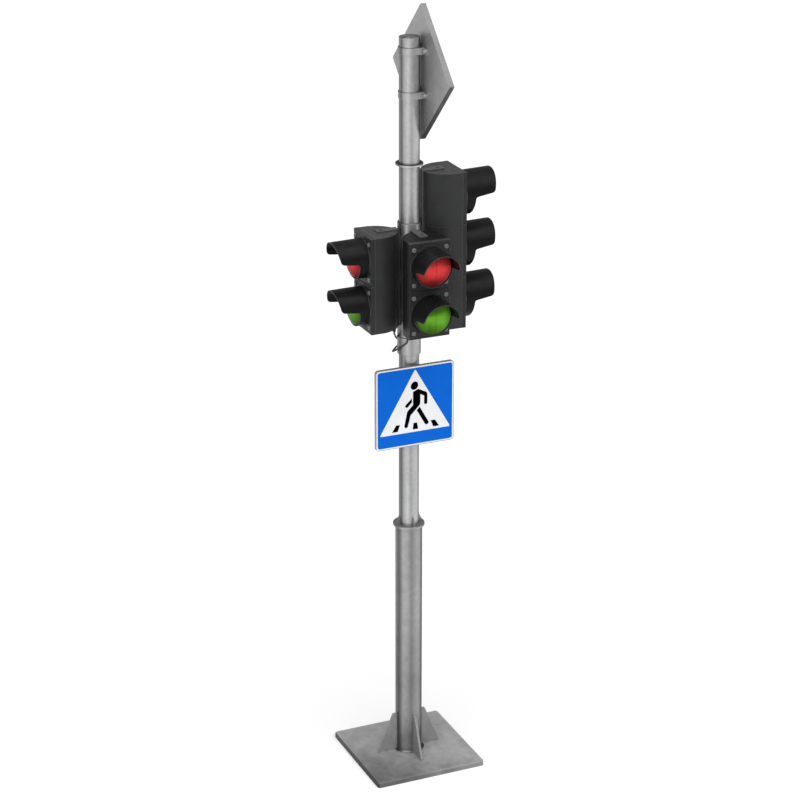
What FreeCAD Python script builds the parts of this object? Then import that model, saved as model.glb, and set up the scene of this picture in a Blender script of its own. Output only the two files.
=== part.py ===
import FreeCAD, Part
import math
import os

# Pedestrian crossing signal post: a stepped steel post on a square foot plate, two
# two-light pedestrian heads, one three-light vehicle head, a pedestrian crossing sign
# and the back-mounted square-on-point priority sign at the top.
# Frame: millimetres, +Z up, origin at the centre of the foot plate's underside.
# The front pedestrian head and the crossing sign face -Y, the side pedestrian head
# faces -X, and the vehicle head and the priority sign face +X.

V = FreeCAD.Vector
UP = V(0, 0, 1)

# ---------------------------------------------------------------- driving dimensions

# foot
BASE_SIDE = 636.0
BASE_THICK = 30.0
BASE_CORNER = 16.0
BASE_EDGE = 4.0
GUSSET_THICK = 10.0
GUSSET_TOP_Z = 256.0
GUSSET_TOP_R = 96.0
GUSSET_FOOT_R = 184.0
GUSSET_HEEL = 12.0
WELD_OUT = 17.0
WELD_UP = 13.0
WELD_TOE = 2.5

# post tubes
LOWER_R = 73.0
LOWER_WALL = 5.0
LOWER_TOP_Z = 1395.0
MAST_R = 54.0
MAST_WALL = 4.0
MAST_SOCKET = 110.0
MAST_TOP_Z = 4064.0
ADAPTER_R = 85.5
ADAPTER_THICK = 12.0
RIB_THICK = 7.0
RIB_REACH = 24.0
RIB_HEIGHT = 46.0
SLEEVE_R = 62.0
SLEEVE_Z = (2381.0, 3103.0)
COLLAR_R = 72.5
COLLAR_Z = (3407.0, 3418.0)
CAP_RIM = 7.0
CAP_CROWN = 2.5
CAP_SKIRT = 30.0

# signal heads, in a head's own frame: +X is the way that it faces, x = 0 is the post axis
WALL = 3.5
DOOR_DEPTH = 24.0
DOOR_GAP = 0.5
DOOR_EDGE_R = 3.0
SECTION_GAP = 0.6
DOOR_SPLIT = 0.9
REAR_X = 78.0
STRAIGHT_X = 205.0
PIVOT_X = 160.0
VISOR_WALL = 4.5
VISOR_FLANGE = 6.0
LENS_WALL = 4.0
LENS_OUT = 46.0
LENS_CROWN = 33.0
LENS_EDGE_R = 16.0
LENS_COLLAR = 2.2
HINGE_OUT = 6.0
KNUCKLE_R = 5.5
KNUCKLE_LEN = 14.0
HINGE_SPREAD = 60.0
PIN_R = 2.5
PIN_PLAY = 0.08
SCREW_HEAD_R = 12.0
SCREW_HEAD_T = 5.5
SCREW_R = 4.0
SCREW_LEN = 17.0
PORT_R = 20.0

# head brackets
STRAP_WIDTH = 46.0
STRAP_THICK = 6.0
STRAP_END_X = 188.0
STRAP_GAP = 0.5
STRAP_BEND = 9.0
STRAP_CORNER = 4.0
BOLT_R = 6.0
BOLT_HEAD_R = 9.0
BOLT_HEAD_T = 2.2
BOLT_PLAY = 0.3

# cable glands, grommets and cords
GLAND_X = 109.0
GLAND_Y = 56.0
GLAND_LEN = 22.0
GROMMET_OUT = 4.0
GROMMET_LIP = 4.0

# signs
PRIORITY_HALF_DIAGONAL = 350.0
PRIORITY_FACE = 88.7
PRIORITY_DEPTH = 28.4
PRIORITY_Z = 3882.0
PRIORITY_BANDS_Z = (3775.3, 4003.4)
CROSSING_SIDE = 450.0
CROSSING_CORNER = 18.0
CROSSING_FACE = 80.0
CROSSING_DEPTH = 18.0
CROSSING_Z = 2107.7
CROSSING_BANDS_Z = (1977.7, 2237.7)
SHEET = 2.0
BAND_THICK = 4.0
BAND_HEIGHT = 36.0
BAND_FLANGE = 32.0
SADDLE_HALF = 36.0
SADDLE_HEIGHT = 26.0
STUD_R = 5.0
STUD_OUT = 17.0

# One entry per head. turn is the heading of its face about +Z, hinge and gland say on
# which side (+1 or -1 of its own Y) the door hinges and the cable gland sit. The visor's
# side edge runs from its tip to visor_tip, visor_step and visor_foot, each given ahead of
# the door and above the lens centre; visor_r is its radius at the door and at its tip.
HEADS = {
    "side": dict(turn=180.0, lights=("upper", "lower"), bottom=2551.0, pitch=258.75,
                 half=113.0, face=263.5, rear_half=38.0, visor_r=(104.0, 101.0),
                 visor_len=174.0, visor_tip=(154.0, 7.5), visor_step=(54.5, -4.5),
                 visor_foot=(50.0, -121.0), screw=(89.5, 94.5), hinge=-1, gland=1),
    "front": dict(turn=-90.0, lights=("upper", "lower"), bottom=2551.0, pitch=258.75,
                  half=113.0, face=263.5, rear_half=38.0, visor_r=(104.0, 101.0),
                  visor_len=174.0, visor_tip=(154.0, 7.5), visor_step=(54.5, -4.5),
                  visor_foot=(50.0, -121.0), screw=(89.5, 94.5), hinge=1, gland=-1),
    "road": dict(turn=0.0, lights=("upper", "middle", "lower"), bottom=2521.5, pitch=281.0,
                 half=121.0, face=272.4, rear_half=40.0, visor_r=(115.0, 120.0),
                 visor_len=187.0, visor_tip=(161.5, 15.0), visor_step=(55.5, -2.0),
                 visor_foot=(44.5, -140.0), screw=(96.0, 102.0), hinge=1, gland=1),
}

# Routes of the loose cables, point by point, with their diameters and the heading of
# each one's entry in the post. Every route starts at its head and ends at the post.
CABLES = {
    "cable_side": dict(size=9.0, entry=90.0, route=(
        (-109.0, -56.0, 2529.0), (-109.0, -56.0, 2516.0), (-99.0, -36.0, 2509.0),
        (-83.0, -4.0, 2496.0), (-66.0, 32.0, 2473.0), (-49.0, 60.0, 2452.0),
        (-33.0, 82.0, 2437.0), (-14.0, 91.0, 2431.0), (0.0, 82.0, 2430.0),
        (0.0, 66.0, 2430.0))),
    "cable_front": dict(size=10.0, entry=90.0, route=(
        (-56.0, -109.0, 2529.0), (-56.0, -109.0, 2506.0), (-53.0, -101.0, 2480.0),
        (-61.0, -76.0, 2457.0), (-75.0, -46.0, 2433.0), (-90.0, -12.0, 2408.0),
        (-88.0, 15.0, 2395.0), (-73.0, 40.0, 2391.0), (-52.0, 66.0, 2391.0),
        (-34.0, 84.0, 2393.0), (-14.0, 92.0, 2397.0), (0.0, 82.0, 2399.0),
        (0.0, 66.0, 2399.0))),
    "earth_wire": dict(size=5.0, entry=185.0, route=(
        (-20.0, -94.0, 2516.0), (-20.0, -94.0, 2501.0), (-30.0, -86.0, 2490.0),
        (-47.0, -71.0, 2487.0), (-63.0, -50.0, 2489.0), (-75.0, -28.0, 2490.0),
        (-77.5, -13.5, 2488.0), (-73.0, -6.4, 2486.5), (-65.75, -5.75, 2486.5))),
}

# ---------------------------------------------------------------------- shape helpers


def box(x0, x1, y0, y1, z0, z1):
    return Part.makeBox(x1 - x0, y1 - y0, z1 - z0, V(x0, y0, z0))


def rod(radius, start, axis, length):
    return Part.makeCylinder(radius, length, start, axis)


def tube(outer, inner, z0, z1):
    return rod(outer, V(0, 0, z0), UP, z1 - z0).cut(rod(inner, V(0, 0, z0), UP, z1 - z0))


def dome_height(radius, crown):
    """Height of a shallow round dome half-way out to its rim."""
    ball = (radius ** 2 + crown ** 2) / (2 * crown)
    return crown - ball + math.sqrt(ball ** 2 - (radius / 2) ** 2)


def quarter_oval(centre, up, ahead, edge_radius):
    """Quarter oval of two tangent arcs, from its top to its foremost point along +X."""
    span = up - edge_radius
    nose_radius = (span ** 2 + ahead ** 2 - edge_radius ** 2) / (2 * (ahead - edge_radius))
    edge_centre = centre + V(0, 0, span)
    nose_centre = centre + V(ahead - nose_radius, 0, 0)
    normal = (edge_centre - nose_centre).normalize()
    join = edge_centre + normal * edge_radius
    edge_middle = edge_centre + (normal + UP).normalize() * edge_radius
    nose_middle = nose_centre + (normal + V(1, 0, 0)).normalize() * nose_radius
    return [Part.Arc(centre + V(0, 0, up), edge_middle, join).toShape(),
            Part.Arc(join, nose_middle, centre + V(ahead, 0, 0)).toShape()]


def outline(points):
    """Closed straight-sided wire through the points."""
    return Part.makePolygon(list(points) + [points[0]])


def prism(wire, along):
    return Part.Face(wire).extrude(along)


def spun(profile, axis_point, axis):
    """Solid of revolution of a closed wire."""
    solid = Part.Solid(Part.Face(profile).revolve(axis_point, axis, 360).Shells[0])
    if solid.Volume < 0:
        solid.reverse()
    return solid


def spun_x(pairs, y=0.0, z=0.0):
    """Solid of revolution about a line along X, from (x, radius) pairs."""
    points = [V(x, y, z + radius) for x, radius in pairs]
    return spun(outline(points), V(0, y, z), V(1, 0, 0))


def spun_z(pairs, x=0.0, y=0.0):
    """Solid of revolution about a line along Z, from (radius, z) pairs."""
    points = [V(x + radius, y, z) for radius, z in pairs]
    return spun(outline(points), V(x, y, 0), UP)


def turned(shape, degrees):
    copy = shape.copy()
    copy.rotate(V(0, 0, 0), UP, degrees)
    return copy


def hexagon(across_flats, start, axis, length):
    """Hexagonal prism, for bolt heads and nuts."""
    radius = across_flats / math.sqrt(3)
    corners = [V(radius * math.cos(math.radians(60 * i)), radius * math.sin(math.radians(60 * i)), 0)
               for i in range(6)]
    solid = prism(outline(corners), V(0, 0, length))
    solid.Placement = FreeCAD.Placement(start, FreeCAD.Rotation(UP, axis))
    return solid


def fillet_where(shape, radius, wanted):
    """Rounds the edges for which wanted(edge) is true."""
    return shape.makeFillet(radius, [edge for edge in shape.Edges if wanted(edge)])


def rounded_path(points, radii):
    """Edges of a path with a tangent arc of the given radius at each inner point."""
    edges = []
    last = points[0]
    for before, corner, after, radius in zip(points, points[1:], points[2:], radii):
        back = (before - corner).normalize()
        ahead = (after - corner).normalize()
        half_turn = (math.pi - back.getAngle(ahead)) / 2
        trim = radius * math.tan(half_turn)
        start = corner + back * trim
        end = corner + ahead * trim
        to_centre = (back + ahead).normalize()
        centre = corner + to_centre * (radius / math.cos(half_turn))
        edges.append(Part.LineSegment(last, start).toShape())
        edges.append(Part.Arc(start, centre - to_centre * radius, end).toShape())
        last = end
    edges.append(Part.LineSegment(last, points[-1]).toShape())
    return edges


def rounded_face(points, radius):
    """Closed face with every corner rounded, starting from the middle of the first side."""
    middle = (points[0] + points[-1]) * 0.5
    path = [middle] + list(points) + [middle]
    return Part.Face(Part.Wire(rounded_path(path, [radius] * len(points))))


# ------------------------------------------------------------------------------ post


def base_plate():
    half = BASE_SIDE / 2
    plate = box(-half, half, -half, half, 0, BASE_THICK)
    plate = fillet_where(plate, BASE_CORNER, lambda e: abs(e.tangentAt(e.FirstParameter).z) > 0.9)
    top = [e for e in plate.Edges if e.BoundBox.ZMin > BASE_THICK - 0.1]
    return plate.makeChamfer(BASE_EDGE, top)


def base_gussets():
    """Four upright plates between the foot plate and the lower tube."""
    inner = LOWER_R - 4
    side = outline([
        V(inner, 0, BASE_THICK), V(inner, 0, GUSSET_TOP_Z), V(GUSSET_TOP_R, 0, GUSSET_TOP_Z),
        V(GUSSET_FOOT_R, 0, BASE_THICK + GUSSET_HEEL), V(GUSSET_FOOT_R, 0, BASE_THICK)])
    plate = prism(side, V(0, GUSSET_THICK, 0))
    plate.translate(V(0, -GUSSET_THICK / 2, 0))
    # the inner edge is hollowed to the round tube and its foot weld
    plate = plate.cut(rod(LOWER_R, V(0, 0, 0), UP, GUSSET_TOP_Z + 1)).cut(foot_weld())
    return [turned(plate, 90 * i) for i in range(4)]


def foot_weld():
    """Hollow fillet weld, with a raised toe, all round the foot of the lower tube."""
    toe = LOWER_R + WELD_OUT
    return spun_z([(LOWER_R - 2, BASE_THICK), (toe, BASE_THICK), (toe, BASE_THICK + WELD_TOE),
                   (toe - 9, BASE_THICK + WELD_TOE + 2), (LOWER_R + 3, BASE_THICK + 0.7 * WELD_UP),
                   (LOWER_R + 1, BASE_THICK + WELD_UP), (LOWER_R - 2, BASE_THICK + WELD_UP)])


def lower_tube():
    """Lower tube with its weld at the foot."""
    body = tube(LOWER_R, LOWER_R - LOWER_WALL, BASE_THICK, LOWER_TOP_Z)
    return body.fuse(foot_weld()).removeSplitter()


def adapter_flange():
    """Step-down ring on top of the lower tube, with four small ribs against the mast."""
    top = LOWER_TOP_Z + ADAPTER_THICK
    ring = tube(ADAPTER_R, MAST_R, LOWER_TOP_Z, top)
    ring = ring.makeChamfer(2.0, [e for e in ring.Edges
                                  if e.BoundBox.ZMin > top - 0.1 and e.BoundBox.XMax > MAST_R + 5])
    side = outline([V(MAST_R - 3, 0, top), V(MAST_R + RIB_REACH, 0, top),
                    V(MAST_R + 3, 0, top + RIB_HEIGHT), V(MAST_R - 3, 0, top + RIB_HEIGHT)])
    rib = prism(side, V(0, RIB_THICK, 0))
    rib.translate(V(0, -RIB_THICK / 2, 0))
    rib = rib.cut(rod(MAST_R, V(0, 0, 0), UP, top + RIB_HEIGHT + 1))
    return [ring] + [turned(rib, 90 * i) for i in range(4)]


def cable_entries():
    """Each cable's entry in the post: its height, heading and the cable's radius."""
    return [(cable["route"][-1][2], cable["entry"], cable["size"] / 2) for cable in CABLES.values()]


def cut_entries(body):
    """Cuts the cable entries, square to the post's side, through a wall of the post."""
    for z, heading, radius in cable_entries():
        hole = rod(radius + 2, V(MAST_R - 12, 0, z), V(1, 0, 0), 30)
        body = body.cut(turned(hole, heading))
    return body


def mast_tube():
    return cut_entries(tube(MAST_R, MAST_R - MAST_WALL, LOWER_TOP_Z - MAST_SOCKET, MAST_TOP_Z))


def bracket_sleeve():
    """Thick sleeve on the mast that the head brackets are welded to."""
    low, high = SLEEVE_Z
    body = tube(SLEEVE_R, MAST_R, low, high)
    body = body.makeChamfer(2.0, [e for e in body.Edges if e.BoundBox.XMax > SLEEVE_R - 0.1
                                  and abs(e.BoundBox.ZMax - e.BoundBox.ZMin) < 0.1])
    return cut_entries(body)


def mast_collar():
    low, high = COLLAR_Z
    ring = tube(COLLAR_R, MAST_R, low, high)
    return ring.makeChamfer(1.5, [e for e in ring.Edges if e.BoundBox.XMax > COLLAR_R - 0.1
                                  and abs(e.BoundBox.ZMax - e.BoundBox.ZMin) < 0.1])


def mast_cap():
    """Press-in end cap with a slightly crowned top."""
    inner = MAST_R - MAST_WALL
    rim = MAST_TOP_Z + CAP_RIM
    crown_mid = V(MAST_R / 2, 0, rim + dome_height(MAST_R, CAP_CROWN))
    edges = [Part.LineSegment(V(0, 0, MAST_TOP_Z - 3), V(inner - 3, 0, MAST_TOP_Z - 3)),
             Part.LineSegment(V(inner - 3, 0, MAST_TOP_Z - 3), V(inner - 3, 0, MAST_TOP_Z - CAP_SKIRT)),
             Part.LineSegment(V(inner - 3, 0, MAST_TOP_Z - CAP_SKIRT), V(inner, 0, MAST_TOP_Z - CAP_SKIRT)),
             Part.LineSegment(V(inner, 0, MAST_TOP_Z - CAP_SKIRT), V(inner, 0, MAST_TOP_Z)),
             Part.LineSegment(V(inner, 0, MAST_TOP_Z), V(MAST_R, 0, MAST_TOP_Z)),
             Part.LineSegment(V(MAST_R, 0, MAST_TOP_Z), V(MAST_R, 0, rim)),
             Part.Arc(V(MAST_R, 0, rim), crown_mid, V(0, 0, rim + CAP_CROWN)),
             Part.LineSegment(V(0, 0, rim + CAP_CROWN), V(0, 0, MAST_TOP_Z - 3))]
    return spun(Part.Wire([edge.toShape() for edge in edges]), V(0, 0, 0), UP)


# ------------------------------------------------------------------------------ heads


def seam_x(head):
    """Plane where the doors meet the housings."""
    return head["face"] - DOOR_DEPTH


def section_range(head, index):
    """Bottom and top of a light section; index 0 is the uppermost."""
    count = len(head["lights"])
    low = head["bottom"] + (count - 1 - index) * head["pitch"]
    return low, low + head["pitch"]


def section_middle(head, index):
    low, high = section_range(head, index)
    return (low + high) / 2


def head_top(head):
    return head["bottom"] + len(head["lights"]) * head["pitch"]


def shell_outline(head, inset, z):
    """Plan of a housing: straight sides that curve in to a narrow flat back."""
    half = head["half"] - inset
    rear_half = head["rear_half"] - inset * 0.6
    rear = REAR_X + inset
    run, rise = STRAIGHT_X - rear, half - rear_half
    bow = (run * run + rise * rise) / (2 * rise)
    sweep = math.asin(run / bow) / 2
    middle_x = STRAIGHT_X - bow * math.sin(sweep)
    middle_y = half - bow + bow * math.cos(sweep)
    front = seam_x(head)
    edges = [Part.LineSegment(V(front, -half, z), V(front, half, z)),
             Part.LineSegment(V(front, half, z), V(STRAIGHT_X, half, z)),
             Part.Arc(V(STRAIGHT_X, half, z), V(middle_x, middle_y, z), V(rear, rear_half, z)),
             Part.LineSegment(V(rear, rear_half, z), V(rear, -rear_half, z)),
             Part.Arc(V(rear, -rear_half, z), V(middle_x, -middle_y, z), V(STRAIGHT_X, -half, z)),
             Part.LineSegment(V(STRAIGHT_X, -half, z), V(front, -half, z))]
    return Part.Wire([edge.toShape() for edge in edges])


def knuckle(head, z, towards):
    """Hinge eye on the side wall; towards is -1 for the housing, +1 for the door."""
    side = head["hinge"]
    seam = seam_x(head)
    axis_y = side * (head["half"] + HINGE_OUT)
    eye = rod(KNUCKLE_R, V(seam, axis_y, z), UP, KNUCKLE_LEN)
    wall_y = side * (head["half"] - 2)
    gap = DOOR_GAP if towards > 0 else 0
    x0, x1 = sorted((seam + towards * gap, seam + towards * 10))
    y0, y1 = sorted((wall_y, axis_y))
    return eye.fuse(box(x0, x1, y0, y1, z, z + KNUCKLE_LEN))


def hinge_heights(head, index):
    """Lower end of each housing eye; the door's eye stands on it with a small gap."""
    middle = section_middle(head, index)
    return [middle - HINGE_SPREAD - KNUCKLE_LEN, middle + HINGE_SPREAD - KNUCKLE_LEN]


def hinge_bore(head, z, radius):
    return rod(radius, V(seam_x(head), head["hinge"] * (head["half"] + HINGE_OUT), z - 1), UP,
               KNUCKLE_LEN + 2)


def housing_section(head, index):
    """Open-fronted shell of one light section."""
    low, high = section_range(head, index)
    low += SECTION_GAP / 2
    high -= SECTION_GAP / 2
    shell = prism(shell_outline(head, 0, low), V(0, 0, high - low))
    shell = fillet_where(shell, 2.0, lambda e: (
        e.BoundBox.ZMax - e.BoundBox.ZMin < 0.1 and e.BoundBox.XMin < seam_x(head) - 1))
    cavity = prism(shell_outline(head, WALL, low + WALL), V(0, 0, high - low - 2 * WALL))
    front = seam_x(head)
    mouth = box(front - 1, front + 1, -head["half"] + WALL, head["half"] - WALL,
                low + WALL, high - WALL)
    shell = shell.cut(cavity.fuse(mouth))
    # cable ports between neighbouring sections
    port_x = 130.0
    if index > 0:
        shell = shell.cut(rod(PORT_R, V(port_x, 0, high - WALL - 1), UP, WALL + 2))
    if index < len(head["lights"]) - 1:
        shell = shell.cut(rod(PORT_R, V(port_x, 0, low - 1), UP, WALL + 2))
    # bosses for the pivot bolts in the end walls
    if index == 0:
        shell = shell.fuse(rod(16, V(PIVOT_X, 0, high - WALL - 10), UP, 10 + WALL / 2))
        shell = shell.cut(rod(BOLT_R, V(PIVOT_X, 0, high - WALL - 11), UP, WALL + 12))
    if index == len(head["lights"]) - 1:
        shell = shell.fuse(rod(16, V(PIVOT_X, 0, low + WALL / 2), UP, 10 + WALL / 2))
        shell = shell.cut(rod(BOLT_R, V(PIVOT_X, 0, low - 1), UP, WALL + 12))
        gland_at = V(GLAND_X, head["gland"] * GLAND_Y, low - 1)
        shell = shell.cut(rod(7.0, gland_at, UP, WALL + 2))
    for z in hinge_heights(head, index):
        shell = shell.fuse(knuckle(head, z, -1)).cut(hinge_bore(head, z, PIN_R))
    return shell.removeSplitter()


def door(head, index):
    """Front frame of one section: a shallow lid with a round collar for the lens."""
    low, high = section_range(head, index)
    low += DOOR_SPLIT / 2
    high -= DOOR_SPLIT / 2
    middle = (low + high) / 2
    half = head["half"]
    rear = seam_x(head) + DOOR_GAP
    face = head["face"]
    lid = box(rear, face, -half, half, low, high)
    lid = fillet_where(lid, DOOR_EDGE_R, lambda e: e.BoundBox.XMin > face - 0.1)
    lid = lid.cut(box(rear - 1, face - 4, -half + WALL, half - WALL, low + WALL, high - WALL))
    opening = lens_radius(head) + 0.5
    seat = spun_x([(face - 13, opening + 4.5), (face - 13, opening + 8),
                   (face - 3, opening + 8), (face - 3, opening + 4.5)], z=middle)
    collar = rod(opening + LENS_COLLAR, V(face - 2, 0, middle), V(1, 0, 0), LENS_OUT - 1)
    lid = lid.fuse([seat, collar])
    lid = lid.cut(rod(opening, V(face - 20, 0, middle), V(1, 0, 0), LENS_OUT + 40))
    for y, z in screw_places(head, middle):
        post = rod(8, V(face - 20, y, z), V(1, 0, 0), 18)
        lid = lid.fuse(post).cut(rod(SCREW_R, V(face - 21, y, z), V(1, 0, 0), 30))
    for z in hinge_heights(head, index):
        eye_z = z + KNUCKLE_LEN + 0.4
        lid = lid.fuse(knuckle(head, eye_z, 1)).cut(hinge_bore(head, eye_z, PIN_R + PIN_PLAY))
    return lid.removeSplitter()


def screw_places(head, middle):
    across, up = head["screw"]
    return [(across * sy, middle + up * sz) for sy in (-1, 1) for sz in (-1, 1)]


def door_screws(head, index):
    """Large round-headed captive screws at the corners of a door."""
    face = head["face"]
    screws = []
    for y, z in screw_places(head, section_middle(head, index)):
        head_disc = rod(SCREW_HEAD_R, V(face, y, z), V(1, 0, 0), SCREW_HEAD_T)
        head_disc = fillet_where(head_disc, 2.5, lambda e: e.BoundBox.XMin > face + 5)
        shank = rod(SCREW_R, V(face - SCREW_LEN, y, z), V(1, 0, 0), SCREW_LEN + 1)
        slot = box(face + SCREW_HEAD_T - 2, face + SCREW_HEAD_T + 1, y - 9, y + 9, z - 1.2, z + 1.2)
        screws.append(head_disc.fuse(shank).cut(slot).removeSplitter())
    return screws


def lens_radius(head):
    return head["visor_r"][0] - 8.5


def lens(head, index):
    """Crowned coloured lens, standing out of its collar, with a flange behind the door."""
    face = head["face"]
    rim = face + LENS_OUT
    radius = lens_radius(head)
    z = section_middle(head, index)
    inner = radius - LENS_WALL
    back = face - 9

    corners = [V(back, 0, z + inner), V(back, 0, z + radius + 5), V(face - 4, 0, z + radius + 5),
               V(face - 4, 0, z + radius), V(rim, 0, z + radius)]
    edges = [Part.LineSegment(a, b).toShape() for a, b in zip(corners, corners[1:])]
    edges += quarter_oval(V(rim, 0, z), radius, LENS_CROWN, LENS_EDGE_R)
    inside = rim + LENS_CROWN - LENS_WALL
    edges.append(Part.LineSegment(V(rim + LENS_CROWN, 0, z), V(inside, 0, z)).toShape())
    edges += quarter_oval(V(rim, 0, z), inner, LENS_CROWN - LENS_WALL, LENS_EDGE_R - LENS_WALL)
    edges.append(Part.LineSegment(V(rim, 0, z + inner), corners[0]).toShape())
    return spun(Part.Wire(Part.__sortEdges__(edges)), V(0, 0, z), V(1, 0, 0))


def visor(head, index):
    """Tapered hood over a lens: a long upper half with a raked tip and a short lower lip."""
    face = head["face"]
    z = section_middle(head, index)
    base, tip = head["visor_r"]
    length = head["visor_len"]
    flange = base + VISOR_FLANGE
    end = face + length + 10
    hood = spun_x([(face, base - VISOR_WALL), (face, flange), (face + 2.5, flange), (face + 2.5, base),
                   (end, tip), (end, tip - VISOR_WALL)], z=z)
    corner, step, foot = [V(face + ahead, 0, z + up) for ahead, up in
                          (head["visor_tip"], head["visor_step"], head["visor_foot"])]
    # side outline of what is cut away, from above the tip down to below the lower lip
    crest = V(face + length, 0, z + tip)
    above = crest + (crest - corner) * 0.3
    far = end + 40
    edges = rounded_path([above, corner, step, foot], [22.0, 12.0])
    edges += [Part.LineSegment(foot, V(far, 0, foot.z)).toShape(),
              Part.LineSegment(V(far, 0, foot.z), V(far, 0, above.z)).toShape(),
              Part.LineSegment(V(far, 0, above.z), above).toShape()]
    reach = max(base, tip) + 20
    cutter = Part.Face(Part.Wire(edges)).extrude(V(0, 2 * reach, 0))
    cutter.translate(V(0, -reach, 0))
    return hood.cut(cutter)


def led_module(head, index):
    """Round light unit behind a lens, on a bar between the housing's side walls."""
    z = section_middle(head, index)
    radius = lens_radius(head) - 12
    front = seam_x(head) - 6
    can = spun_x([(front - 34, 0), (front - 34, radius * 0.55), (front - 24, radius), (front, radius),
                  (front, radius - 3), (front - 3, radius - 3), (front - 3, 0)], z=z)
    side = head["half"] - WALL
    bar = box(front - 30, front - 22, -side, side, z - 12, z + 12)
    supply = box(front - 72, front - 33, -40, 40, z - 34, z + 34)
    return can.fuse([bar, supply]).removeSplitter()


def pivot_bolt(head, top):
    """Low round-headed bolt through a bracket strap into the housing."""
    sign = 1 if top else -1
    wall_z = head_top(head) - SECTION_GAP / 2 if top else head["bottom"] + SECTION_GAP / 2
    strap_z = wall_z + sign * (STRAP_GAP + STRAP_THICK + 0.3)
    shank = rod(BOLT_R, V(PIVOT_X, 0, wall_z - sign * 12), V(0, 0, sign),
                12 + STRAP_GAP + STRAP_THICK + 0.8)
    cap = rod(BOLT_HEAD_R, V(PIVOT_X, 0, strap_z), V(0, 0, sign), BOLT_HEAD_T)
    outer_z = strap_z + sign * BOLT_HEAD_T
    cap = fillet_where(cap, 1.2, lambda e: abs(e.BoundBox.Center.z - outer_z) < 0.1
                       and e.BoundBox.ZMax - e.BoundBox.ZMin < 0.1)
    socket = hexagon(7.0, V(PIVOT_X, 0, outer_z), V(0, 0, -sign), 1.2)
    return shank.fuse(cap).cut(socket).removeSplitter()


def hinge_pins(head, index):
    """Headed pins through the hinge eyes."""
    pins = []
    for z in hinge_heights(head, index):
        x, y = seam_x(head), head["hinge"] * (head["half"] + HINGE_OUT)
        top = z + 2 * KNUCKLE_LEN + 0.4
        pin = rod(PIN_R, V(x, y, z), UP, top + 0.4 - z)
        pins.append(pin.fuse(rod(4.0, V(x, y, top + 0.4), UP, 1.6)).removeSplitter())
    return pins


def cable_gland(head):
    """Nylon gland under a head, with its threaded neck in the bottom wall."""
    x, y = GLAND_X, head["gland"] * GLAND_Y
    wall_low = head["bottom"] + SECTION_GAP / 2
    end = head["bottom"] - GLAND_LEN
    nut = hexagon(19.0, V(x, y, wall_low), V(0, 0, -1), 7.0)
    dome = spun_z([(0, end), (6.2, end), (8.6, end + 7), (9.2, wall_low - 6), (0, wall_low - 6)], x, y)
    neck = rod(7.0, V(x, y, wall_low - 2), UP, WALL + 6)
    locknut = hexagon(19.0, V(x, y, wall_low + WALL), UP, 4.0)
    return nut.fuse([dome, neck, locknut]).removeSplitter()


def bracket(head):
    """C-shaped flat bar: a back bar on the post and a strap over and under the head."""
    top = head_top(head) - SECTION_GAP / 2 + STRAP_GAP
    bottom = head["bottom"] + SECTION_GAP / 2 - STRAP_GAP
    outer_top, outer_bottom = top + STRAP_THICK, bottom - STRAP_THICK
    outer = STRAP_BEND
    inner = STRAP_BEND - STRAP_THICK
    rear, front = SLEEVE_R, STRAP_END_X
    edges = rounded_path([V(front, 0, outer_top), V(rear, 0, outer_top), V(rear, 0, outer_bottom),
                          V(front, 0, outer_bottom)], [outer, outer])
    back = rounded_path([V(front, 0, top), V(rear + STRAP_THICK, 0, top),
                         V(rear + STRAP_THICK, 0, bottom), V(front, 0, bottom)], [inner, inner])
    ends = [Part.LineSegment(V(front, 0, outer_bottom), V(front, 0, bottom)).toShape(),
            Part.LineSegment(V(front, 0, top), V(front, 0, outer_top)).toShape()]
    wire = Part.Wire(Part.__sortEdges__(edges + ends + back))
    bar = Part.Face(wire).extrude(V(0, STRAP_WIDTH, 0))
    bar.translate(V(0, -STRAP_WIDTH / 2, 0))
    bar = fillet_where(bar, STRAP_CORNER, lambda e: e.BoundBox.XMin > front - 0.1
                       and e.BoundBox.ZMax - e.BoundBox.ZMin > 1)
    for z in (top - 1, outer_bottom - 1):
        bar = bar.cut(rod(BOLT_R + BOLT_PLAY, V(PIVOT_X, 0, z), UP, STRAP_THICK + 2))
    # weld beads between the back bar's edges and the sleeve
    beads = []
    for z in bead_heights(head):
        for side in (-1, 1):
            corner = outline([V(rear, side * 14, z), V(rear, side * STRAP_WIDTH / 2, z),
                              V(SLEEVE_R * 0.87, side * STRAP_WIDTH / 2, z), V(rear - 4, side * 14, z)])
            beads.append(prism(corner, V(0, 0, 60)).cut(rod(SLEEVE_R, V(0, 0, z - 1), UP, 62)))
    return bar.fuse(beads).removeSplitter()


def bead_heights(head):
    """Lower ends of the weld beads, all on the sleeve."""
    low = max(head["bottom"], SLEEVE_Z[0]) + 30
    high = min(head_top(head), SLEEVE_Z[1]) - 90
    return [low, (low + high) / 2, high]


# --------------------------------------------------------------- cables and entries


def grommets():
    """Rubber grommets that close the post's cable entries round the cables."""
    solids = []
    for z, heading, radius in cable_entries():
        neck, lip, end = radius + 2, radius + GROMMET_LIP, SLEEVE_R + GROMMET_OUT
        body = rod(neck, V(MAST_R - MAST_WALL - 2, 0, z), V(1, 0, 0), 8 + SLEEVE_R - MAST_R + 2)
        collar = rod(lip, V(SLEEVE_R - 4, 0, z), V(1, 0, 0), GROMMET_OUT + 4)
        collar = collar.cut(rod(SLEEVE_R, V(0, 0, z - 20), UP, 40))
        collar = fillet_where(collar, 1.5, lambda e: e.BoundBox.XMin > end - 0.1)
        solids.append(turned(body.fuse(collar).removeSplitter(), heading))
    return solids


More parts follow.
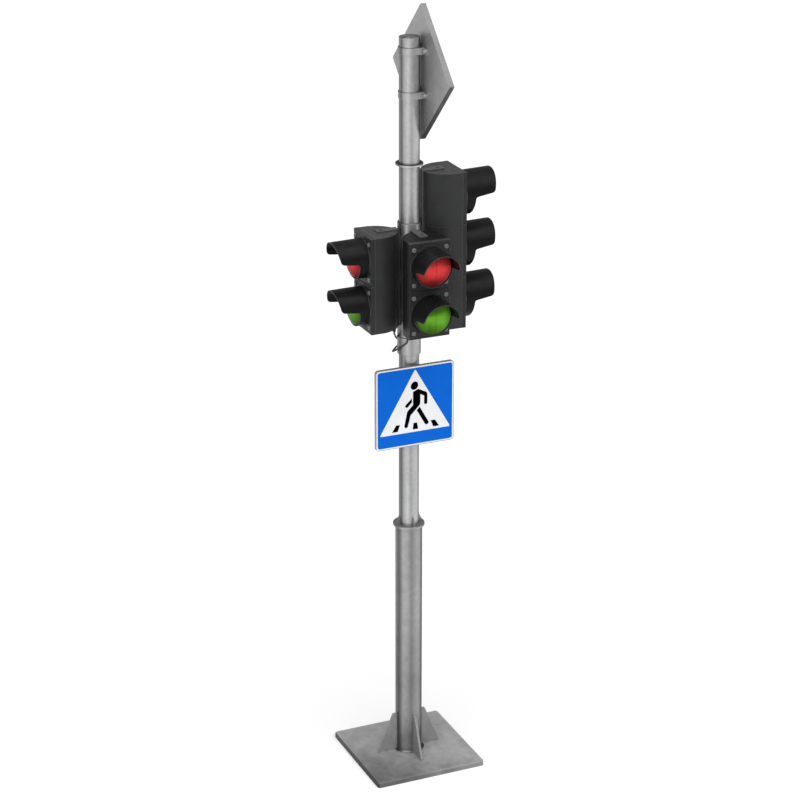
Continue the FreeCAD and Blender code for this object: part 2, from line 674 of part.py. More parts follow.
def earth_lug():
    """Lug under the front head's lower strap that the earth wire ends in."""
    strap_low = HEADS["front"]["bottom"] + SECTION_GAP / 2 - STRAP_GAP - STRAP_THICK
    x, y, z = CABLES["earth_wire"]["route"][0]
    barrel = rod(4.5, V(x, y, z), UP, strap_low - 2.5 - z)
    tongue = box(x - 6, x + 18, y - 6, y + 6, strap_low - 2.5, strap_low)
    screw = hexagon(10.0, V(x + 12, y, strap_low - 2.5), V(0, 0, -1), 5.0)
    return barrel.fuse([tongue, screw]).removeSplitter()


def cable(name):
    """Round cable along its route: straight runs joined by tangent arcs."""
    diameter = CABLES[name]["size"]
    points = [V(*p) for p in CABLES[name]["route"]]
    radii = []
    for before, corner, after in zip(points, points[1:], points[2:]):
        half_turn = (math.pi - (before - corner).getAngle(after - corner)) / 2
        shorter = min((before - corner).Length, (after - corner).Length)
        radii.append(0.45 * shorter / math.tan(half_turn))
    path = Part.Wire(rounded_path(points, radii))
    ring = Part.Circle(points[0], points[1] - points[0], diameter / 2)
    solid = path.makePipeShell([Part.Wire(ring.toShape())], True, True)
    expected = math.pi * diameter ** 2 / 4 * path.Length
    print(name, "length", round(path.Length, 1), "radii", [round(r, 1) for r in radii],
          "volume ratio", round(solid.Volume / expected, 4))
    return solid


# ------------------------------------------------------------------------------ signs


def sign_pan(face_outline, inner_outline, face, depth):
    """Sheet-metal pan: a flat face with its edge folded back."""
    body = prism(face_outline, V(-depth, 0, 0))
    return body.cut(prism(inner_outline, V(-depth, 0, 0)))


def priority_panel():
    """Square sign standing on one corner, facing +X: a folded pan closed by a back sheet."""
    def diamond(half, x):
        points = [V(x, 0, PRIORITY_Z + half), V(x, half, PRIORITY_Z),
                  V(x, 0, PRIORITY_Z - half), V(x, -half, PRIORITY_Z)]
        return rounded_face(points, 6.0 if x == PRIORITY_FACE else 4.0)
    outer = diamond(PRIORITY_HALF_DIAGONAL + 2.4, PRIORITY_FACE).extrude(V(-PRIORITY_DEPTH, 0, 0))
    inner_half = PRIORITY_HALF_DIAGONAL - SHEET * math.sqrt(2) + 1.6
    inner = diamond(inner_half, PRIORITY_FACE - SHEET).extrude(V(-PRIORITY_DEPTH, 0, 0))
    back = diamond(inner_half, PRIORITY_FACE - PRIORITY_DEPTH + SHEET).extrude(V(-SHEET, 0, 0))
    return [outer.cut(inner), back]


def crossing_panel():
    """Square sign facing -Y, built facing +X and then turned."""
    def square(half, radius, x):
        points = [V(x, -half, CROSSING_Z - half), V(x, half, CROSSING_Z - half),
                  V(x, half, CROSSING_Z + half), V(x, -half, CROSSING_Z + half)]
        return rounded_face(points, radius)
    half = CROSSING_SIDE / 2
    outer = square(half, CROSSING_CORNER, CROSSING_FACE).extrude(V(-CROSSING_DEPTH, 0, 0))
    inner = square(half - SHEET, CROSSING_CORNER - SHEET, CROSSING_FACE - SHEET)
    return turned(outer.cut(inner.extrude(V(-CROSSING_DEPTH, 0, 0))), -90)


def clamp_band(z, back):
    """Steel band round the mast whose two ends flare out flat against a sign's back."""
    low, high = z - BAND_HEIGHT / 2, z + BAND_HEIGHT / 2
    outer = MAST_R + BAND_THICK
    end = outer + BAND_FLANGE
    band = tube(outer, MAST_R, low, high).cut(box(0, 2 * MAST_R, -outer - 1, outer + 1,
                                                  low - 1, high + 1))
    for side in (-1, 1):
        face, rear = back - BAND_THICK, back
        line = rounded_path([V(face, side * end, low), V(face, side * outer, low),
                             V(0, side * outer, low)], [3.0])
        line += rounded_path([V(rear, side * end, low), V(rear, side * MAST_R, low),
                              V(0, side * MAST_R, low)], [3.0 + BAND_THICK])
        line += [Part.LineSegment(V(face, side * end, low), V(rear, side * end, low)).toShape(),
                 Part.LineSegment(V(0, side * outer, low), V(0, side * MAST_R, low)).toShape()]
        leg = Part.Face(Part.Wire(Part.__sortEdges__(line))).extrude(V(0, 0, BAND_HEIGHT))
        band = band.fuse(leg).cut(rod(STUD_R, V(back - 20, side * stud_y(), z), V(1, 0, 0), 40))
    return band.removeSplitter()


def stud_y():
    return MAST_R + BAND_THICK + BAND_FLANGE / 2


def clamp_saddle(z, back):
    """Saddle block between the mast and a sign's back, inside the band."""
    block = box(MAST_R / 2, back, -SADDLE_HALF, SADDLE_HALF, z - SADDLE_HEIGHT / 2,
                z + SADDLE_HEIGHT / 2)
    return block.cut(rod(MAST_R, V(0, 0, z - SADDLE_HEIGHT), UP, 2 * SADDLE_HEIGHT))


def clamp_stud(z, back, side):
    """Stud on a sign's back with the washer and nut that hold the band's flange."""
    y = side * stud_y()
    flange = back - BAND_THICK
    stud = rod(STUD_R, V(back - STUD_OUT, y, z), V(1, 0, 0), STUD_OUT)
    washer = rod(8.5, V(flange - 2, y, z), V(1, 0, 0), 2)
    nut = hexagon(16.0, V(flange - 2, y, z), V(-1, 0, 0), 8.0)
    return stud.fuse([washer, nut]).removeSplitter()


# Each sign's clamps: heights, back face that they hold, heading of the sign.
CLAMPS = (
    (PRIORITY_BANDS_Z, PRIORITY_FACE - PRIORITY_DEPTH, 0.0),
    (CROSSING_BANDS_Z, CROSSING_FACE - SHEET, -90.0),
)


def clamp_sets():
    """Bands, saddles and studs of both signs, as three groups."""
    bands, saddles, studs = [], [], []
    for heights, back, heading in CLAMPS:
        for z in heights:
            bands.append(turned(clamp_band(z, back), heading))
            saddles.append(turned(clamp_saddle(z, back), heading))
            studs += [turned(clamp_stud(z, back, side), heading) for side in (-1, 1)]
    return bands, saddles, studs


# --------------------------------------------------------------------------- assembly


def build_nodes():
    """Every node's name and its solids, in the part's own frame."""
    bands, saddles, studs = clamp_sets()
    nodes = {
        "base_plate": [base_plate()],
        "base_gussets": base_gussets(),
        "lower_tube": [lower_tube()],
        "adapter_flange": adapter_flange(),
        "mast_tube": [mast_tube()],
        "bracket_sleeve": [bracket_sleeve()],
        "mast_collar": [mast_collar()],
        "mast_cap": [mast_cap()],
        "priority_panel": priority_panel(),
        "crossing_panel": [crossing_panel()],
        "sign_clamp_bands": bands,
        "sign_clamp_saddles": saddles,
        "sign_clamp_studs": studs,
        "cable_grommets": grommets(),
    }
    for name in CABLES:
        nodes[name] = [cable(name)]
    for name, head in HEADS.items():
        turn = head["turn"]
        lights = list(enumerate(head["lights"]))
        nodes["bracket_" + name] = [turned(bracket(head), turn)]
        nodes["housing_" + name] = [turned(housing_section(head, i), turn) for i, _ in lights]
        nodes["led_modules_" + name] = [turned(led_module(head, i), turn) for i, _ in lights]
        hardware = [pivot_bolt(head, True), pivot_bolt(head, False)]
        for i, _ in lights:
            hardware += hinge_pins(head, i)
        nodes["hardware_" + name] = [turned(piece, turn) for piece in hardware]
        nodes["cable_gland_" + name] = [turned(cable_gland(head), turn)]
        for i, light in lights:
            label = name + "_" + light
            nodes["door_" + label] = [turned(door(head, i), turn)]
            nodes["visor_" + label] = [turned(visor(head, i), turn)]
            nodes["lens_" + label] = [turned(lens(head, i), turn)]
            nodes["screws_" + label] = [turned(piece, turn) for piece in door_screws(head, i)]
    nodes["bracket_front"].append(earth_lug())
    return nodes


def main():
    os.makedirs("parts", exist_ok=True)
    nodes = build_nodes()
    for name, solids in nodes.items():
        shape = solids[0] if len(solids) == 1 else Part.makeCompound(solids)
        if not shape.isValid():
            raise ValueError(name + " is not a valid shape")
        shape.exportStep("parts/" + name + ".step")
    print(len(nodes), "nodes")


main()
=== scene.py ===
import math

import bmesh
import bpy
from mathutils import Matrix, Vector


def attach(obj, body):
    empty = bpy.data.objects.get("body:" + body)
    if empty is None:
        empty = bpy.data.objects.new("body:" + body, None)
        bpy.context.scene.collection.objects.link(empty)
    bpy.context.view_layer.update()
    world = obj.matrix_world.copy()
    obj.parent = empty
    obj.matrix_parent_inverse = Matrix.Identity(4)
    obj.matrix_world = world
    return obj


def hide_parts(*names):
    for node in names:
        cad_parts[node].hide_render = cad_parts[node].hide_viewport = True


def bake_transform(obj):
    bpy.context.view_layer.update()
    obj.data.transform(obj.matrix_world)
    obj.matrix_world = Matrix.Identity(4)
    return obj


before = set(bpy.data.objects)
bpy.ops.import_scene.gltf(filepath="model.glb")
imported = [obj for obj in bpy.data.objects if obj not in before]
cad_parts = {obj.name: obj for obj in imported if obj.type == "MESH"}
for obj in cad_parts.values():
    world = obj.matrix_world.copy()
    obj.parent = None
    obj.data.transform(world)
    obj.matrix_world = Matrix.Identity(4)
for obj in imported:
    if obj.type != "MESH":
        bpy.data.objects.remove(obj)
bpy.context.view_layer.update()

# Sizes are in metres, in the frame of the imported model: +Z up, origin under the foot plate.
# Each head: its heading about +Z, its lights from the top down, the height of its underside,
# the height of one section, how far its doors' face is from the post's axis, and the
# radius of its hoods at the door.
HEADS = {
    "side": dict(turn=180.0, lights=("upper", "lower"), bottom=2.551, pitch=0.25875,
                 face=0.2635, hood=0.104),
    "front": dict(turn=-90.0, lights=("upper", "lower"), bottom=2.551, pitch=0.25875,
                  face=0.2635, hood=0.104),
    "road": dict(turn=0.0, lights=("upper", "middle", "lower"), bottom=2.5215, pitch=0.281,
                 face=0.2724, hood=0.115),
}

# ------------------------------------------------------------------------- camera


def make_camera():
    """Long lens, looking down from the left of the crossing sign's face."""
    data = bpy.data.cameras.new("view")
    data.sensor_fit = "HORIZONTAL"
    data.sensor_width = 36.0
    data.lens = 111.54
    data.clip_end = 1000.0
    camera = bpy.data.objects.new("view", data)
    camera.location = (-4.94404, -11.1894, 6.90588)
    camera.rotation_euler = (math.radians(68.603), 0.0, math.radians(-23.616))
    bpy.context.scene.collection.objects.link(camera)
    bpy.context.scene.camera = camera


make_camera()

# ---------------------------------------------------------------------- materials


def material(name):
    """A new node material, its tree and its shader."""
    mat = bpy.data.materials.new(name)
    mat.use_nodes = True
    tree = mat.node_tree
    shader = tree.nodes["Principled BSDF"]
    return mat, tree, shader


def add(tree, kind, **inputs):
    """A node with its input values set by name."""
    node = tree.nodes.new(kind)
    for name, value in inputs.items():
        node.inputs[name.replace("_", " ")].default_value = value
    return node


def object_point(tree):
    """The shaded point in the part's own frame, in metres."""
    return tree.nodes.new("ShaderNodeTexCoord").outputs["Object"]


def coords(tree, scale=(1.0, 1.0, 1.0)):
    """The shaded point, stretched by scale."""
    mapping = tree.nodes.new("ShaderNodeMapping")
    mapping.inputs["Scale"].default_value = scale
    tree.links.new(object_point(tree), mapping.inputs["Vector"])
    return mapping.outputs["Vector"]


def component(tree, vector, axis):
    """One component of a vector."""
    split = tree.nodes.new("ShaderNodeSeparateXYZ")
    tree.links.new(vector, split.inputs["Vector"])
    return split.outputs[axis]


def true_normal(tree):
    """Normal of the surface without any bump."""
    return tree.nodes.new("ShaderNodeNewGeometry").outputs["Normal"]


def noise(tree, vector, scale, detail=3.0, rough=0.5):
    """Soft random clouds, about 0.3 to 0.7."""
    node = add(tree, "ShaderNodeTexNoise", Scale=scale, Detail=detail, Roughness=rough)
    tree.links.new(vector, node.inputs["Vector"])
    return node.outputs["Fac"]


def span(tree, value, low, high, low_in=0.3, high_in=0.7):
    """Value mapped from low_in..high_in to low..high."""
    node = tree.nodes.new("ShaderNodeMapRange")
    node.inputs["From Min"].default_value = low_in
    node.inputs["From Max"].default_value = high_in
    node.inputs["To Min"].default_value = low
    node.inputs["To Max"].default_value = high
    tree.links.new(value, node.inputs["Value"])
    return node.outputs["Result"]


def ramp(tree, value, stops):
    """Colour ramp through (position, rgb) stops."""
    node = tree.nodes.new("ShaderNodeValToRGB")
    elements = node.color_ramp.elements
    while len(elements) < len(stops):
        elements.new(0.5)
    for element, (position, rgb) in zip(elements, stops):
        element.position = position
        element.color = (*rgb, 1.0)
    tree.links.new(value, node.inputs["Fac"])
    return node.outputs["Color"]


def math_node(tree, operation, a, b):
    """Result of an operation on two sockets or numbers."""
    node = tree.nodes.new("ShaderNodeMath")
    node.operation = operation
    for socket, value in zip(node.inputs, (a, b)):
        if isinstance(value, float):
            socket.default_value = value
        else:
            tree.links.new(value, socket)
    return node.outputs["Value"]


# Sockets of a Mix node that blends colours.
MIX_FACTOR, MIX_A, MIX_B, MIX_RESULT = 0, 6, 7, 2


def mix_colour(tree, factor, a, b, blend="MIX"):
    """Colour a blended with b; each may be a socket or plain numbers."""
    node = tree.nodes.new("ShaderNodeMix")
    node.data_type = "RGBA"
    node.blend_type = blend
    for index, value in ((MIX_FACTOR, factor), (MIX_A, a), (MIX_B, b)):
        if isinstance(value, float):
            node.inputs[index].default_value = value
        elif isinstance(value, tuple):
            node.inputs[index].default_value = (*value, 1.0)
        else:
            tree.links.new(value, node.inputs[index])
    return node.outputs[MIX_RESULT]


def darkened(tree, colour, mask, tone):
    """Colour, multiplied by tone where the mask is 1."""
    shade = mix_colour(tree, mask, (1.0, 1.0, 1.0), (tone,) * 3)
    return mix_colour(tree, 1.0, colour, shade, "MULTIPLY")


def bump(tree, shader, height, strength, distance):
    """Fine relief on a shader's normal."""
    node = add(tree, "ShaderNodeBump", Strength=strength, Distance=distance)
    tree.links.new(height, node.inputs["Height"])
    tree.links.new(node.outputs["Normal"], shader.inputs["Normal"])


def bevelled(tree, radius):
    """Normal of the surface as if its edges were rounded off by radius."""
    bevel = tree.nodes.new("ShaderNodeBevel")
    bevel.samples = 4
    bevel.inputs["Radius"].default_value = radius
    return bevel.outputs["Normal"]


def edge_mask(tree, radius, low=0.02, high=0.22):
    """1 close to sharp edges and 0 on flat faces."""
    dot = tree.nodes.new("ShaderNodeVectorMath")
    dot.operation = "DOT_PRODUCT"
    tree.links.new(bevelled(tree, radius), dot.inputs[0])
    tree.links.new(true_normal(tree), dot.inputs[1])
    return span(tree, math_node(tree, "SUBTRACT", 1.0, dot.outputs["Value"]), 0.0, 1.0, low, high)


def around(tree):
    """Angle about the post as 0..1, from -180 to 180 degrees."""
    point = object_point(tree)
    angle = math_node(tree, "ARCTAN2", component(tree, point, "Y"), component(tree, point, "X"))
    return span(tree, angle, 0.0, 1.0, -math.pi, math.pi)


EDGE_RADIUS = 0.0025        # how wide a painted edge highlight is
CREST_RADIUS = 0.004        # how wide the painted shade on an upper edge is


def zinc_variation(tree, vector, spangle):
    """Mottling of a zinc coat as 0..1, and the spangle alone."""
    cells = add(tree, "ShaderNodeTexVoronoi", Scale=spangle)
    tree.links.new(vector, cells.inputs["Vector"])
    grey = tree.nodes.new("ShaderNodeRGBToBW")
    tree.links.new(cells.outputs["Color"], grey.inputs["Color"])
    crystals = grey.outputs["Val"]
    clouds = noise(tree, vector, 6.0, 5.0, 0.6)
    drips = noise(tree, coords(tree, (22.0, 22.0, 1.6)), 1.0, 4.0, 0.6)
    value = math_node(tree, "ADD", math_node(tree, "MULTIPLY", crystals, 0.22),
                      math_node(tree, "MULTIPLY", clouds, 0.5))
    value = math_node(tree, "ADD", value, math_node(tree, "MULTIPLY", drips, 0.28))
    return value, crystals


def zinc_colour(tree, value, tone, stain):
    """Grey of a zinc coat of the given tone, with brownish run-off stains."""
    colour = ramp(tree, value, [(0.30, tuple(tone * k for k in (0.80, 0.81, 0.83))),
                                (0.50, (tone, tone, tone * 1.01)),
                                (0.72, tuple(min(1.0, tone * k) for k in (1.17, 1.17, 1.16)))])
    patches = noise(tree, coords(tree, (9.0, 9.0, 2.0)), 1.0, 6.0, 0.7)
    dirt = span(tree, patches, 0.0, stain, 0.52, 0.8)
    return mix_colour(tree, dirt, colour, (tone * 0.62, tone * 0.60, tone * 0.56))


def reflection_banded(tree, colour, bands):
    """Colour with painted reflections and shade in long upright bands by angle about the post,
    which wander a little.
    """
    wander = noise(tree, coords(tree, (5.0, 5.0, 1.3)), 1.0, 2.0, 0.5)
    turn = math_node(tree, "ADD", around(tree), span(tree, wander, -0.006, 0.006))
    painted_reflections = ramp(tree, turn, [((angle + 180.0) / 360.0, (k, k, k)) for angle, k in bands])
    return mix_colour(tree, 1.0, colour, painted_reflections, "MULTIPLY")


def height_shaded(tree, colour, heights):
    """Colour darkened by height up the post, with painted shade at the tube's foot."""
    top = heights[-1][0]
    level = span(tree, component(tree, object_point(tree), "Z"), 0.0, 1.0, 0.0, top)
    height_shade = ramp(tree, level, [(z / top, (k, k, k)) for z, k in heights])
    return mix_colour(tree, 1.0, colour, height_shade, "MULTIPLY")


# Where the painted shade on the foot plate starts and where it is darkest, as x + y in metres.
SHADE_START, SHADE_END = -0.02, -0.5


def corner_shaded(tree, colour, corner_shade):
    """Colour with painted shade, darkening to the given tone towards the corner at -X and -Y."""
    point = object_point(tree)
    across = math_node(tree, "ADD", component(tree, point, "X"), component(tree, point, "Y"))
    clouds = noise(tree, coords(tree), 6.0, 5.0, 0.6)
    across = math_node(tree, "ADD", across, span(tree, clouds, -0.08, 0.08))
    return darkened(tree, colour, span(tree, across, 0.0, 1.0, SHADE_START, SHADE_END), corner_shade)


def galvanised(name, tone, metal=0.35, spangle=70.0, stain=0.5, bands=None, edge=1.45,
               rough=(0.42, 0.62), crest=1.0, shades=(), heights=None, corner_shade=None):
    """Hot-dip galvanised steel: faint zinc spangle, soft clouds, drip marks and painted edge
    highlights.

    bands are (angle about the post in degrees, tone) stops of painted reflections and shade in
    long upright bands, and heights (metres up the post, tone) stops, with painted shade at the
    tube's foot. crest is the tone of painted shade on upper edges. shades are (axis, from, to,
    tone) of painted shade on faces whose normal passes from one value to the other, and the last
    argument is the tone of painted shade in the corner at -X and -Y."""
    mat, tree, shader = material(name)
    vector = coords(tree)
    value, crystals = zinc_variation(tree, vector, spangle)
    colour = zinc_colour(tree, value, tone, stain)
    # Painted reflections and shade, in upright bands by angle about the post.
    if bands:
        colour = reflection_banded(tree, colour, bands)
    # Darker by height: painted shade at the tube's foot.
    if heights:
        colour = height_shaded(tree, colour, heights)
    # Painted highlight along edges.
    edge_highlight = (min(1.0, tone * edge),) * 3
    colour = mix_colour(tree, edge_mask(tree, EDGE_RADIUS), colour, edge_highlight)
    # Painted shade on upper edges.
    if crest != 1.0:
        upward = component(tree, bevelled(tree, CREST_RADIUS), "Z")
        mask = span(tree, upward, 0.0, 1.0, 0.15, 0.45)
        colour = mix_colour(tree, mask, colour, (tone * crest,) * 3)
    # Painted shade on faces, by where their normal points.
    for axis, start, full, factor in shades:
        mask = span(tree, component(tree, true_normal(tree), axis), 0.0, 1.0, start, full)
        colour = darkened(tree, colour, mask, factor)
    # Painted shade towards the corner at -X and -Y.
    if corner_shade:
        colour = corner_shaded(tree, colour, corner_shade)
    tree.links.new(colour, shader.inputs["Base Color"])
    tree.links.new(span(tree, value, *rough), shader.inputs["Roughness"])
    shader.inputs["Metallic"].default_value = metal
    shader.inputs["Specular Tint"].default_value = (0.35, 0.35, 0.35, 1.0)
    fine = noise(tree, vector, 420.0, 3.0, 0.6)
    height = math_node(tree, "ADD", math_node(tree, "MULTIPLY", crystals, 0.3), fine)
    bump(tree, shader, height, 0.18, 0.0006)
    return mat


DUST = (0.16, 0.158, 0.15)


def plastic(name, tone, rough=(0.40, 0.52), grain=1500.0, tint=(1.0, 1.02, 1.05), dust=0.25,
            edge=0.10, gloss=0.25):
    """Moulded polycarbonate: fine grain, uneven sheen, settled dust and painted edge highlights.

    dust is how much of the upper faces it covers, and edge is the tone of the painted edge
    highlight."""
    mat, tree, shader = material(name)
    vector = coords(tree)
    clouds = noise(tree, vector, 9.0, 4.0, 0.55)
    colour = ramp(tree, clouds, [(0.3, tuple(tone * 0.86 * t for t in tint)),
                                 (0.7, tuple(tone * 1.16 * t for t in tint))])
    up = span(tree, component(tree, true_normal(tree), "Z"), 0.0, dust, 0.35, 1.0)
    patches = span(tree, noise(tree, vector, 30.0, 6.0, 0.65), 0.25, 1.0, 0.35, 0.65)
    colour = mix_colour(tree, math_node(tree, "MULTIPLY", up, patches), colour, DUST)
    # Painted highlight along edges.
    edge_highlight = (edge, edge, edge * 1.02)
    colour = mix_colour(tree, edge_mask(tree, EDGE_RADIUS), colour, edge_highlight)
    tree.links.new(colour, shader.inputs["Base Color"])
    shader.inputs["Specular IOR Level"].default_value = gloss
    tree.links.new(span(tree, noise(tree, vector, 24.0, 5.0, 0.6), *rough),
                   shader.inputs["Roughness"])
    bump(tree, shader, noise(tree, vector, grain, 2.0, 0.5), 0.14, 0.0004)
    return mat


# Painted light on a lens, from its lower rim at 0 to its upper rim at 1.
LENS_LEVELS = ((0.04, 0.04), (0.14, 0.12), (0.28, 0.52), (0.42, 0.96), (0.53, 1.0),
               (0.66, 0.40), (0.85, 0.06))


def lens_material(name, shade_colour, lit_colour, glow=0.30):
    """Clear coloured lens with painted light: a painted glow, lit across the middle, painted shade
    towards its rim, top and bottom, and a faint darker upright line down its middle.

    The lens has its own UV map, which runs 0..1 across it and up it."""
    mat, tree, shader = material(name)
    vector = coords(tree)
    disc = tree.nodes.new("ShaderNodeTexCoord").outputs["UV"]
    wander = span(tree, noise(tree, vector, 11.0, 3.0, 0.55), -0.07, 0.07)
    height = math_node(tree, "ADD", component(tree, disc, "Y"), wander)
    # Painted light up the lens, with painted shade from the hood at its top.
    level = ramp(tree, height, [(position, (lit,) * 3) for position, lit in LENS_LEVELS])
    offset = math_node(tree, "SUBTRACT", component(tree, disc, "X"), 0.5)
    centre = math_node(tree, "ABSOLUTE", offset, 0.0)
    # Painted shade towards its sides.
    sides = span(tree, centre, 1.0, 0.25, 0.22, 0.46)
    level = math_node(tree, "MULTIPLY", level, sides)
    # A faint darker upright line down the middle.
    line = span(tree, centre, 0.35, 0.0, 0.004, 0.022)
    colour = mix_colour(tree, level, shade_colour, lit_colour)
    colour = mix_colour(tree, line, colour, shade_colour)
    tree.links.new(colour, shader.inputs["Base Color"])
    # Painted glow: the lens shines though its lamp is off.
    tree.links.new(colour, shader.inputs["Emission Color"])
    shader.inputs["Emission Strength"].default_value = glow
    shader.inputs["Specular IOR Level"].default_value = 0.03
    tree.links.new(span(tree, noise(tree, vector, 60.0, 3.0), 0.22, 0.34),
                   shader.inputs["Roughness"])
    bump(tree, shader, noise(tree, vector, 240.0, 1.0, 0.3), 0.06, 0.0005)
    return mat


def sheeting(name, rgb, rough=0.42, cell=330.0, gloss=0.15):
    """Retro-reflective sign sheeting: tiny cells under a clear film, faint clouding."""
    mat, tree, shader = material(name)
    vector = coords(tree)
    clouds = noise(tree, vector, 8.0, 4.0, 0.6)
    colour = ramp(tree, clouds, [(0.3, tuple(c * 0.94 for c in rgb)),
                                 (0.7, tuple(min(1.0, c * 1.05) for c in rgb))])
    cells = add(tree, "ShaderNodeTexVoronoi", Scale=cell)
    cells.feature = "DISTANCE_TO_EDGE"
    tree.links.new(vector, cells.inputs["Vector"])
    edges = span(tree, cells.outputs["Distance"], 0.10, 0.0, 0.0, 0.09)
    cell_wall = tuple(min(1.0, c * 0.8 + 0.04 * max(rgb)) for c in rgb)
    colour = mix_colour(tree, edges, colour, cell_wall)
    tree.links.new(colour, shader.inputs["Base Color"])
    tree.links.new(span(tree, noise(tree, vector, 30.0, 4.0), rough - 0.06, rough + 0.08),
                   shader.inputs["Roughness"])
    shader.inputs["Specular IOR Level"].default_value = gloss
    bump(tree, shader, cells.outputs["Distance"], 0.05, 0.0003)
    return mat


def rubber(name, tone):
    """Soft cable sheath or grommet rubber."""
    mat, tree, shader = material(name)
    vector = coords(tree)
    colour = ramp(tree, noise(tree, vector, 40.0, 4.0, 0.6),
                  [(0.3, (tone * 0.8,) * 3), (0.7, (tone * 1.3,) * 3)])
    tree.links.new(colour, shader.inputs["Base Color"])
    tree.links.new(span(tree, noise(tree, vector, 90.0, 3.0), 0.45, 0.62),
                   shader.inputs["Roughness"])
    bump(tree, shader, noise(tree, vector, 900.0, 2.0), 0.1, 0.0003)
    return mat


# Painted reflections and shade on the round tubes, in long upright bands,
# as (angle about the post in degrees, tone).
MAST_REFLECTIONS = ((-180.0, 0.72), (-169.0, 0.45), (-160.0, 0.28), (-152.0, 0.53), (-146.0, 0.79),
              (-139.0, 0.99), (-133.0, 1.04), (-127.0, 1.17), (-121.0, 1.25), (-116.0, 1.17),
              (-110.0, 1.01), (-104.0, 0.85), (-98.0, 0.83), (-93.0, 0.91), (-87.0, 1.04),
              (-80.0, 1.10), (-73.0, 1.13), (-65.0, 1.17), (-56.0, 1.09), (-43.0, 0.67),
              (-30.0, 0.60), (10.0, 1.08), (50.0, 0.9), (90.0, 1.1), (130.0, 0.82), (180.0, 0.72))
FOOT_REFLECTIONS = ((-180.0, 0.86), (-170.0, 0.53), (-163.0, 0.34), (-157.0, 0.43), (-151.0, 0.57),
              (-146.0, 0.78), (-141.0, 0.99), (-136.0, 1.10), (-123.0, 1.02), (-115.0, 0.86),
              (-106.0, 0.66), (-102.0, 0.64), (-98.0, 0.69), (-93.0, 0.79), (-88.0, 0.87),
              (-79.0, 1.00), (-68.0, 1.08), (-61.0, 0.93), (-54.0, 0.80), (-44.0, 0.50),
              (-30.0, 0.60), (12.0, 1.05), (55.0, 0.9), (95.0, 1.08), (140.0, 0.85), (180.0, 0.86))
# Tone up the lower tube, as (height, tone): painted shade in the corner at its foot against the
# plate, and darker bands further up.
FOOT_HEIGHTS = ((0.0, 0.40), (0.042, 0.42), (0.052, 1.0), (0.20, 0.9), (0.45, 0.76), (0.90, 1.0),
                (1.5, 1.0))
TUBE_ROUGH = (0.30, 0.44)
NEUTRAL = (1.0, 1.0, 1.02)

# The surfaces of a drawn tube: its painted reflections and shade, and how smooth it is.
MAST_SKIN = dict(bands=MAST_REFLECTIONS, rough=TUBE_ROUGH)
FOOT_SKIN = dict(bands=FOOT_REFLECTIONS, rough=TUBE_ROUGH)

